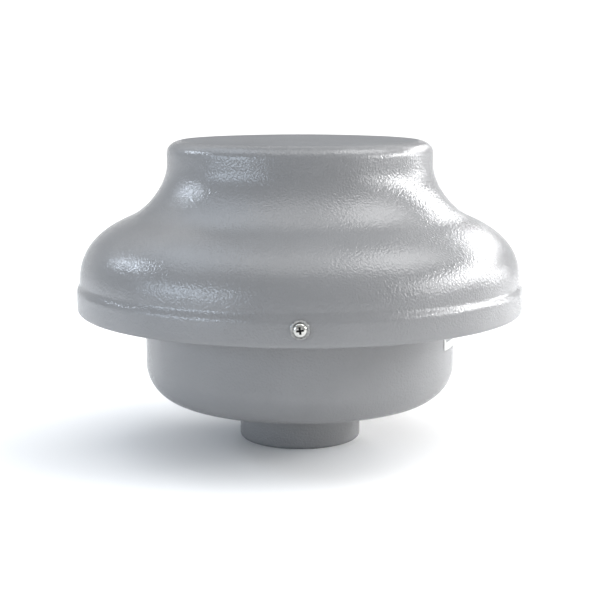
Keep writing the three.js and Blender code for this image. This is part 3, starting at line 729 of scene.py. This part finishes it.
def hex_nut(name, across_flats, bore, bottom, top, place):
    """A chamfered hexagonal nut with its bore's edges broken."""

    def outline_at(angle):
        shape = hex_outline(across_flats, bore, bottom, top, angle)
        shape[0] = (bore + 0.3, bottom)
        shape[-1] = (bore + 0.3, top)
        return [*shape, (bore, top - 0.3), (bore, bottom + 0.3)]

    return turned_by_angle(name, outline_at, place)


def hex_bolt(name, across_flats, shank, seat, head_height, length, place):
    """A hexagon-head bolt with a plain upper shank and a threaded end."""
    thread_end = seat - length + 7.5

    def outline_at(angle):
        shape = [(0, seat - length), (shank - 0.5, seat - length)]
        shape += thread(shank, 0.3, 0.7, thread_end - 7, thread_end - 0.1)
        shape += [(shank, thread_end), (shank, seat)]
        head = hex_outline(across_flats, shank, seat, seat + head_height, angle)
        return shape + head[1:-1] + [(0, seat + head_height)]

    return turned_by_angle(name, outline_at, place)


RECESS_TURNS = {"front": 8, "right": 31, "left": 67}  # degrees: how each cover screw's recess happens to lie
weld_nut_low, weld_nut_high = node_box("cover_nut_front")
for side, degrees in ARMS.items():
    finish_piece(pan_screw(f"pan_screw_{side}", degrees, RECESS_TURNS[side]), f"cover_screw_{side}", ZINC)
    finish_piece(washer(f"plain_washer_{side}", degrees), f"cover_washer_{side}", DULL_ZINC)
    place = pointing_out(degrees, COVER_SCREW_HEIGHT)
    weld_nut = hex_nut(f"weld_nut_{side}", 8, 2.6, -weld_nut_high.y, -weld_nut_low.y, place)
    finish_piece(weld_nut, f"cover_nut_{side}", ZINC)
    bolt_low, bolt_high = node_box(f"bowl_screw_{side}")
    seat = bolt_high.z - BOWL_SCREW_HEAD
    place = standing(BOWL_SCREW_CIRCLE, degrees)
    bolt = hex_bolt(f"bowl_bolt_{side}", 8, 2.5, seat, BOWL_SCREW_HEAD, seat - bolt_low.z, place)
    finish_piece(bolt, f"bowl_screw_{side}", ZINC)

for side, degrees in GAPS.items():
    bolt_low, bolt_high = node_box(f"tie_bolt_{side}")
    seat = bolt_high.z - TIE_BOLT_HEAD
    place = standing(TIE_BOLT_CIRCLE, degrees)
    bolt = hex_bolt(f"tie_rod_{side}", 7, 2, seat, TIE_BOLT_HEAD, seat - bolt_low.z, place)
    finish_piece(bolt, f"tie_bolt_{side}", ZINC)
    nut_low, nut_high = node_box(f"tie_nut_{side}")
    nut = hex_nut(f"tie_rod_nut_{side}", 7, 2.1, nut_low.z, nut_high.z, place)
    finish_piece(nut, f"tie_nut_{side}", ZINC)

# ---------------------------------------------------------------- impeller

plate_low, plate_high = node_box("impeller_backplate")
IMPELLER_RADIUS = plate_high.x
BLADES = 7
BLADE_SHEET = 1.5
BLADE_START = 50  # radius of the blades' inner ends
BLADE_SWEEP = -42  # degrees from a blade's inner end to its outer end
BLADE_BOW = 70  # radius of the arc that a blade follows in plan
HUB_RADIUS = 12
EYE_RADIUS = 45.5
shroud_low, shroud_high = node_box("impeller_shroud")


def shroud_face():
    """The shroud's inner face, from the eye to the rim."""
    path = [(EYE_RADIUS, shroud_low.z), (EYE_RADIUS, 59)]
    path += bezier(path[-1], (EYE_RADIUS, 64.7), (49.7, 68), (58, 69), 14)
    path.append((IMPELLER_RADIUS, shroud_high.z))
    return path


def shroud_height(radius):
    """The height of the shroud's inner face at a radius."""
    path = shroud_face()
    for (r0, z0), (r1, z1) in zip(path, path[1:]):
        if r0 <= radius <= r1 and r1 > r0:
            return z0 + (z1 - z0) * (radius - r0) / (r1 - r0)
    return path[-1][1]


def impeller_shroud():
    """The spun shroud under the blades."""
    return turned("impeller_shroud_spun", rounded(sheet(shroud_face(), BLADE_SHEET, -1), 0.3), sides=168)


def impeller_blade(index):
    """A backward-curved blade: an arc in plan whose lower edge follows the shroud."""
    start = Vector((BLADE_START, 0))
    sweep = math.radians(BLADE_SWEEP)
    end = Vector((math.cos(sweep), math.sin(sweep))) * (IMPELLER_RADIUS - 1.5)
    chord = end - start
    across = Vector((-chord.y, chord.x)).normalized()
    centre = (start + end) / 2 - across * math.sqrt(BLADE_BOW**2 - (chord.length / 2) ** 2)
    from_angle = math.atan2(*(start - centre).yx)
    to_angle = math.atan2(*(end - centre).yx)
    top = plate_low.z - CONTACT
    bm = bmesh.new()
    rows = []
    steps = 24
    for i in range(steps + 1):
        a = from_angle + (to_angle - from_angle) * i / steps
        out = Vector((math.cos(a), math.sin(a)))
        row = []
        for side in (-0.5, 0.5):
            p = centre + out * (BLADE_BOW + side * BLADE_SHEET)
            low = shroud_height(p.length) + CONTACT
            row.append((bm.verts.new((p.x, p.y, low)), bm.verts.new((p.x, p.y, top))))
        rows.append(row)
    for (a_in, a_out), (b_in, b_out) in zip(rows, rows[1:]):
        bm.faces.new((a_in[0], b_in[0], b_in[1], a_in[1]))
        bm.faces.new((a_out[0], a_out[1], b_out[1], b_out[0]))
        bm.faces.new((a_in[0], a_out[0], b_out[0], b_in[0]))
        bm.faces.new((a_in[1], b_in[1], b_out[1], a_out[1]))
    for inner, outer in (rows[0], rows[-1]):
        bm.faces.new((inner[0], inner[1], outer[1], outer[0]))
    turn = Matrix.Rotation(2 * math.pi * index / BLADES, 4, "Z")
    return make_object(bm, f"fan_blade_{index + 1}", turn)


finish_piece(
    flat_ring("impeller_backplate_disc", "impeller_backplate", HUB_RADIUS + CONTACT, 0.3),
    "impeller_backplate", GALVANISED, "rotor",
)
finish_piece(impeller_shroud(), "impeller_shroud", GALVANISED, "rotor")
for i in range(BLADES):
    finish_piece(impeller_blade(i), f"impeller_blade_{i + 1}", GALVANISED, "rotor")

screw_low, screw_high = node_box("hub_set_screw")
SET_SCREW_HEIGHT = (screw_low.z + screw_high.z) / 2
SHAFT_BORE = 5.3  # in every piece that sits on the shaft


def impeller_hub():
    """The hub, with a flange on the back plate and a drilled hole for its set screw."""
    low, high = node_box("impeller_hub")
    flange = plate_high.z + CONTACT
    flange_radius = 24
    outline = [
        (SHAFT_BORE, low.z), (HUB_RADIUS, low.z), (HUB_RADIUS, flange), (flange_radius, flange),
        (flange_radius, flange + 3), (HUB_RADIUS + 3, flange + 3.6), (HUB_RADIUS, flange + 6),
        (HUB_RADIUS, high.z), (SHAFT_BORE, high.z),
    ]
    hub = turned("impeller_hub_turned", rounded(outline, 0.6), sides=96)
    drill(hub, "set_screw_hole", 2.7, 5, HUB_RADIUS + 4, pointing_out(0, SET_SCREW_HEIGHT), 32)
    return hub


def set_screw():
    """A socket set screw: a threaded stub with a hexagonal socket in its outer end."""

    def outline_at(angle):
        start, end = screw_low.x, screw_high.x
        socket = hex_radius(2.5, angle)
        shape = [(0, start), (1.4, start), (2.3, start + 0.8)]
        shape += thread(2.4, 0.3, 0.7, start + 1.0, end - 0.8)
        return shape + [(2.3, end - 0.2), (2.1, end), (socket, end), (socket, end - 2), (0, end - 2.6)]

    return turned_by_angle("hub_socket_screw", outline_at, pointing_out(0, SET_SCREW_HEIGHT), 48)


finish_piece(impeller_hub(), "impeller_hub", ALUMINIUM, "rotor")
finish_piece(set_screw(), "hub_set_screw", STEEL, "rotor")

# ---------------------------------------------------------------- motor


def shaft():
    """The ground shaft, chamfered at both ends."""
    low, high = node_box("shaft")
    radius, chamfer = high.x, 0.8
    outline = [(0, low.z), (radius - chamfer, low.z), (radius, low.z + chamfer), (radius, high.z - chamfer)]
    outline += [(radius - chamfer, high.z), (0, high.z)]
    return turned("shaft_ground", outline, sides=64)


def race(name, node, inner, outer):
    """A bearing race with rounded corners and a seal recess in its ends."""
    low, high = node_box(node)
    depth = 0.4
    r1, r2, r3, r4 = (inner + (outer - inner) * part for part in (0.35, 0.4, 0.6, 0.65))
    outline = [
        (inner, low.z), (r1, low.z), (r2, low.z + depth), (r3, low.z + depth), (r4, low.z), (outer, low.z),
        (outer, high.z), (r4, high.z), (r3, high.z - depth), (r2, high.z - depth), (r1, high.z), (inner, high.z),
    ]
    return turned(name, rounded(outline, 0.4), sides=96)


def rotor_core():
    """The cage rotor: a laminated pack between two cast end rings."""
    low, high = node_box("rotor_core")
    pack, ring_inner, ring_outer, ring_height = high.x, 15, 24, 4
    bottom, top = low.z + ring_height, high.z - ring_height
    outline = [
        (SHAFT_BORE, bottom), (ring_inner, bottom), (ring_inner, low.z), (ring_outer, low.z),
        (ring_outer, bottom), (pack, bottom), (pack, top), (ring_outer, top),
        (ring_outer, high.z), (ring_inner, high.z), (ring_inner, top), (SHAFT_BORE, top),
    ]
    return turned("rotor_core_cast", rounded(outline, 0.5), sides=96)


def wave_washer():
    """The spring washer above the upper bearing, with three waves."""
    low, high = node_box("bearing_wave_washer")
    thick, bore, outside = 0.5, 9, 12.6
    lift = high.z - low.z - thick

    def outline_at(angle):
        z = low.z + lift * (1 + math.cos(3 * angle)) / 2
        return rounded([(bore, z), (outside, z), (outside, z + thick), (bore, z + thick)], 0.12, 2)

    return turned_by_angle("wave_spring_washer", outline_at, None, 120)


finish_piece(shaft(), "shaft", STEEL, "rotor")
finish_piece(rotor_core(), "rotor_core", ALUMINIUM, "rotor")
for level in ("lower", "upper"):
    inner = race(f"{level}_inner_ring", f"{level}_bearing_inner_race", SHAFT_BORE, 8.2)
    finish_piece(inner, f"{level}_bearing_inner_race", STEEL, "rotor")
    outer = race(f"{level}_outer_ring", f"{level}_bearing_outer_race", 8.6, 13)
    finish_piece(outer, f"{level}_bearing_outer_race", STEEL)
finish_piece(wave_washer(), "bearing_wave_washer", STEEL)
keep_node("motor_lower_shield", ALUMINIUM, 0.4)
keep_node("motor_upper_shield", ALUMINIUM, 0.4)
keep_node("stator_core", LAMINATIONS, 0.2)
keep_node("stator_windings", COPPER, 1.0)

# ---------------------------------------------------------------- electrical pieces


def capacitor():
    """The run capacitor: a can with a groove under its lid, on a threaded stud."""
    low, high = node_box("capacitor")
    seat = node_box("motor_spider")[1].z + CONTACT
    radius, stud = high.x, 3.9
    outline = [(0, low.z), (stud - 0.6, low.z)]
    outline += thread(stud, 0.4, 0.9, low.z + 0.6, seat - 3.5)
    outline += [(stud, seat - 3), (stud, seat), (radius - 1.2, seat), (radius, seat + 1.2), (radius, high.z - 4)]
    outline += [(radius - 0.6, high.z - 3.4), (radius - 0.6, high.z - 2.6), (radius, high.z - 2)]
    outline += [(radius - 1.5, high.z), (0, high.z)]
    centre = Vector((0, (low.y + high.y) / 2, 0))
    return turned("run_capacitor", outline, Matrix.Translation(centre), 96)


def lead(name, node, points, radius):
    """A round lead along a smooth line through points in millimetres."""
    curve = bpy.data.curves.new(name, "CURVE")
    curve.dimensions = "3D"
    curve.bevel_depth = radius * MM
    curve.bevel_resolution = 6
    curve.resolution_u = 16
    curve.use_fill_caps = True
    spline = curve.splines.new("BEZIER")
    spline.bezier_points.add(len(points) - 1)
    for knot, p in zip(spline.bezier_points, points):
        knot.co = Vector(p) * MM
        knot.handle_left_type = knot.handle_right_type = "AUTO"
    made = bpy.data.objects.new(name, curve)
    bpy.context.scene.collection.objects.link(made)
    curve.materials.append(SHEATH)
    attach(made, "casing")
    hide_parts(node)


finish_piece(capacitor(), "capacitor", WHITE_PLASTIC)
nut_low, nut_high = node_box("capacitor_nut")
capacitor_circle = -(nut_low.y + nut_high.y) / 2
nut = hex_nut("capacitor_hex_nut", 13, 4.0, nut_low.z, nut_high.z, standing(capacitor_circle, -90))
finish_piece(nut, "capacitor_nut", ZINC)
keep_node("terminal_block", WHITE_PLASTIC, 0.5)

motor_lead_low, motor_lead_high = node_box("motor_lead")
lead_x = (motor_lead_low.x + motor_lead_high.x) / 2
start, end = motor_lead_low.y, motor_lead_high.y
exit_height, block_height = 145, 143.5
motor_lead_route = [
    (lead_x, start, exit_height), (lead_x, start + 6, exit_height),
    (lead_x, end - 6, block_height), (lead_x, end, block_height),
]
lead("motor_lead_cable", "motor_lead", motor_lead_route, 2.2)
capacitor_top = node_box("capacitor")[1].z + CONTACT
shield_face = node_box("capacitor_lead")[1].y
entry_height = 199
capacitor_lead_route = [
    (0, -76, capacitor_top), (0, -76, capacitor_top + 5), (0, -69, capacitor_top + 11),
    (0, -58, capacitor_top + 12), (0, shield_face - 5, entry_height), (0, shield_face, entry_height),
]
lead("capacitor_lead_cable", "capacitor_lead", capacitor_lead_route, 2.0)

# ---------------------------------------------------------------- cable gland and rating label

gland_place = pointing_out(90, GLAND_HEIGHT)
GLAND_FLATS = 20  # across the flats of the collar, the cap and the locknut
GLAND_BORE = 6.2


def gland_body():
    """The gland's body: a threaded tube with a hexagonal collar outside the bowl."""
    low, high = node_box("gland_body")
    collar = BOWL_RADIUS + CONTACT
    collar_top = collar + 5
    tube = 7.8

    def outline_at(angle):
        shape = [(GLAND_BORE, low.y), (tube - 0.6, low.y), (tube, low.y + 0.6)]
        shape += thread(tube, 0.5, 1.2, low.y + 1, collar - 1.6)
        shape.append((tube, collar))
        shape += hex_outline(GLAND_FLATS, tube, collar, collar_top, angle)[1:-1]
        return shape + [(tube, collar_top), (tube, high.y), (GLAND_BORE, high.y)]

    return turned_by_angle("cable_gland_body", outline_at, gland_place, 120)


def gland_cap():
    """The dome nut: a hexagonal grip, a rounded nose and the cord's hole."""
    low, high = node_box("gland_cap")
    bore, grip_top = 8.3, low.y + 8

    def outline_at(angle):
        grip = hex_outline(GLAND_FLATS, bore, low.y, grip_top, angle)
        nose = bezier((9.6, grip_top), (9.6, low.y + 11), (9, high.y), (7.4, high.y), 8)
        lip = [(GLAND_BORE + 0.5, high.y), (GLAND_BORE, high.y - 0.5), (GLAND_BORE, high.y - 4)]
        return [*grip[:-1], *nose, *lip, (bore, low.y + 6.5)]

    return turned_by_angle("cable_gland_cap", outline_at, gland_place, 120)


finish_piece(gland_body(), "gland_body", BLACK_PLASTIC)
finish_piece(gland_cap(), "gland_cap", BLACK_PLASTIC)
locknut_low, locknut_high = node_box("gland_locknut")
locknut = hex_nut("cable_gland_locknut", GLAND_FLATS, 8.1, locknut_low.y, locknut_high.y, gland_place)
finish_piece(locknut, "gland_locknut", BLACK_PLASTIC)


def rating_label():
    """A blank rating label: white film that follows the bowl's wall, ruled with a few plain grey bars."""
    low, high = node_box("rating_label")
    start, end = math.radians(-26.5), math.radians(10)
    inner = BOWL_RADIUS + 0.1
    thick = 0.25
    corner = 2.0
    width = (end - start) * BOWL_RADIUS
    height = high.z - low.z
    bars = [  # left, bottom, right and top of each bar on the flat label
        (4, 30, 30, 33), (4, 24, 46, 25.5), (4, 20, 40, 21.5), (4, 16, 50, 17.5), (56, 6, 74, 20), (4, 6, 34, 12),
    ]

    def grid_lines(length, first, last, step):
        lines = {0, length, corner, length - corner, *range(0, int(length), step)}
        return sorted(lines | {bar[first] for bar in bars} | {bar[last] for bar in bars})

    us = grid_lines(width, 0, 2, 2)
    vs = grid_lines(height, 1, 3, 4)
    bm = bmesh.new()

    def point(u, v, r):
        du = max(corner - u, u - (width - corner), 0)
        dv = max(corner - v, v - (height - corner), 0)
        if du and dv:
            scale = max(du, dv) / math.hypot(du, dv)
            u += (du - du * scale) * (1 if u < corner else -1)
            v += (dv - dv * scale) * (1 if v < corner else -1)
        a = start + u / BOWL_RADIUS
        return bm.verts.new((r * math.cos(a), r * math.sin(a), low.z + v))

    outside = [[point(u, v, inner + thick) for v in vs] for u in us]
    inside = [[point(u, v, inner) for v in vs] for u in us]
    for i in range(len(us) - 1):
        for j in range(len(vs) - 1):
            face = bm.faces.new((outside[i][j], outside[i + 1][j], outside[i + 1][j + 1], outside[i][j + 1]))
            u, v = (us[i] + us[i + 1]) / 2, (vs[j] + vs[j + 1]) / 2
            face.material_index = int(any(b[0] < u < b[2] and b[1] < v < b[3] for b in bars))
            bm.faces.new((inside[i][j], inside[i][j + 1], inside[i + 1][j + 1], inside[i + 1][j]))
    for i in range(len(us) - 1):
        bm.faces.new((outside[i][0], inside[i][0], inside[i + 1][0], outside[i + 1][0]))
        bm.faces.new((outside[i][-1], outside[i + 1][-1], inside[i + 1][-1], inside[i][-1]))
    for j in range(len(vs) - 1):
        bm.faces.new((outside[0][j], outside[0][j + 1], inside[0][j + 1], inside[0][j]))
        bm.faces.new((outside[-1][j], inside[-1][j], inside[-1][j + 1], outside[-1][j + 1]))
    made = make_object(bm, "rating_label_film")
    made.data.materials.append(LABEL)
    made.data.materials.append(LABEL_INK)
    return made


finish_piece(rating_label(), "rating_label", None)

# ---------------------------------------------------------------- stage, camera and lights


def backdrop():
    """A pale floor that sweeps up into a wall behind the fan."""
    half_width, front, back, bend, height = 4.5, -3.5, 4.6, 0.5, 0.75
    profile = [(front, 0), (back - bend, 0)]
    profile += [(back - bend + y, z + bend) for y, z in arc((0, 0), bend, -90, 0, 24)]
    profile.append((back, height))
    bm = bmesh.new()
    left = [bm.verts.new((-half_width, y, z)) for y, z in profile]
    right = [bm.verts.new((half_width, y, z)) for y, z in profile]
    for i in range(len(profile) - 1):
        bm.faces.new((left[i], right[i], right[i + 1], left[i + 1])).smooth = True
    mesh = bpy.data.meshes.new("backdrop")
    bm.to_mesh(mesh)
    bm.free()
    made = bpy.data.objects.new("backdrop", mesh)
    bpy.context.scene.collection.objects.link(made)
    material, tree, shader = new_material("pale_paper", Roughness=0.9)
    tree.links.new(ramp(tree, noise(tree, 300, 2), (0.90, 0.90, 0.90), (0.93, 0.93, 0.93)), shader["Base Color"])
    made.data.materials.append(material)


def area_light(name, size, radiance, location, rotation, colour=(1, 1, 1)):
    """A rectangular softbox whose face has a given radiance."""
    data = bpy.data.lights.new(name, "AREA")
    data.shape = "RECTANGLE"
    data.size, data.size_y = size
    data.energy = math.pi * size[0] * size[1] * radiance
    data.color = colour
    made = bpy.data.objects.new(name, data)
    made.location = location
    made.rotation_euler = rotation
    bpy.context.scene.collection.objects.link(made)


FAN_MIDDLE = Vector((0, 0, 0.17))
LIGHT_DISTANCE = 2.0


def soft_light(name, azimuth, elevation, size, radiance, colour=(1, 1, 1), roll=0):
    """A softbox that faces the fan. Angles are in degrees: azimuth 0 is towards the camera, 90 is to the right."""
    a, e = math.radians(azimuth), math.radians(elevation)
    away = Vector((math.sin(a) * math.cos(e), -math.cos(a) * math.cos(e), math.sin(e)))
    rotation = away.to_track_quat("Z", "Y") @ Quaternion((0, 0, 1), math.radians(roll))
    area_light(name, size, radiance, FAN_MIDDLE + away * LIGHT_DISTANCE, rotation.to_euler(), colour)


def camera():
    """The photograph's view: a long lens, a little above the fan and tilted down to it."""
    downward_tilt = 9.16  # degrees
    data = bpy.data.cameras.new("camera")
    data.lens = 83.9
    data.sensor_width = 36
    made = bpy.data.objects.new("camera", data)
    made.location = (0, -1.1228, 0.2935)
    made.rotation_euler = (math.radians(90 - downward_tilt), 0, 0)
    bpy.context.scene.collection.objects.link(made)
    bpy.context.scene.camera = made


backdrop()
soft_light("right_strip", 118, 22, (2.8, 0.22), 19, roll=5)
soft_light("right_high", 90, 57, (1.4, 0.9), 4.2)
soft_light("left_high", -98, 57, (1.7, 1.0), 1.6, (0.8, 0.89, 1.0))
soft_light("right_low", 118, 6, (0.42, 0.36), 15)
soft_light("left_small", -108, 27, (0.36, 0.36), 16, (0.78, 0.88, 1.0))
soft_light("left_wide", -56, 10, (1.6, 0.46), 6, (0.74, 0.86, 1.0))
soft_light("right_wide", 82, 17, (1.9, 0.8), 4.8)
soft_light("overhead", 12, 78, (1.9, 1.5), 1.5)
# Above and behind the fan and turned away from it, to even out the floor and the wall at the back.
area_light("backdrop_wash", (9.0, 1.4), 2.5, (0, 2.6, 2.3), (math.radians(28), 0, 0))

world = bpy.data.worlds.new("studio")
world.use_nodes = True
background = world.node_tree.nodes["Background"].inputs
background["Color"].default_value = (1, 1, 1, 1)
background["Strength"].default_value = 0.54
bpy.context.scene.world = world
bpy.context.scene.view_settings.view_transform = "Standard"

camera()
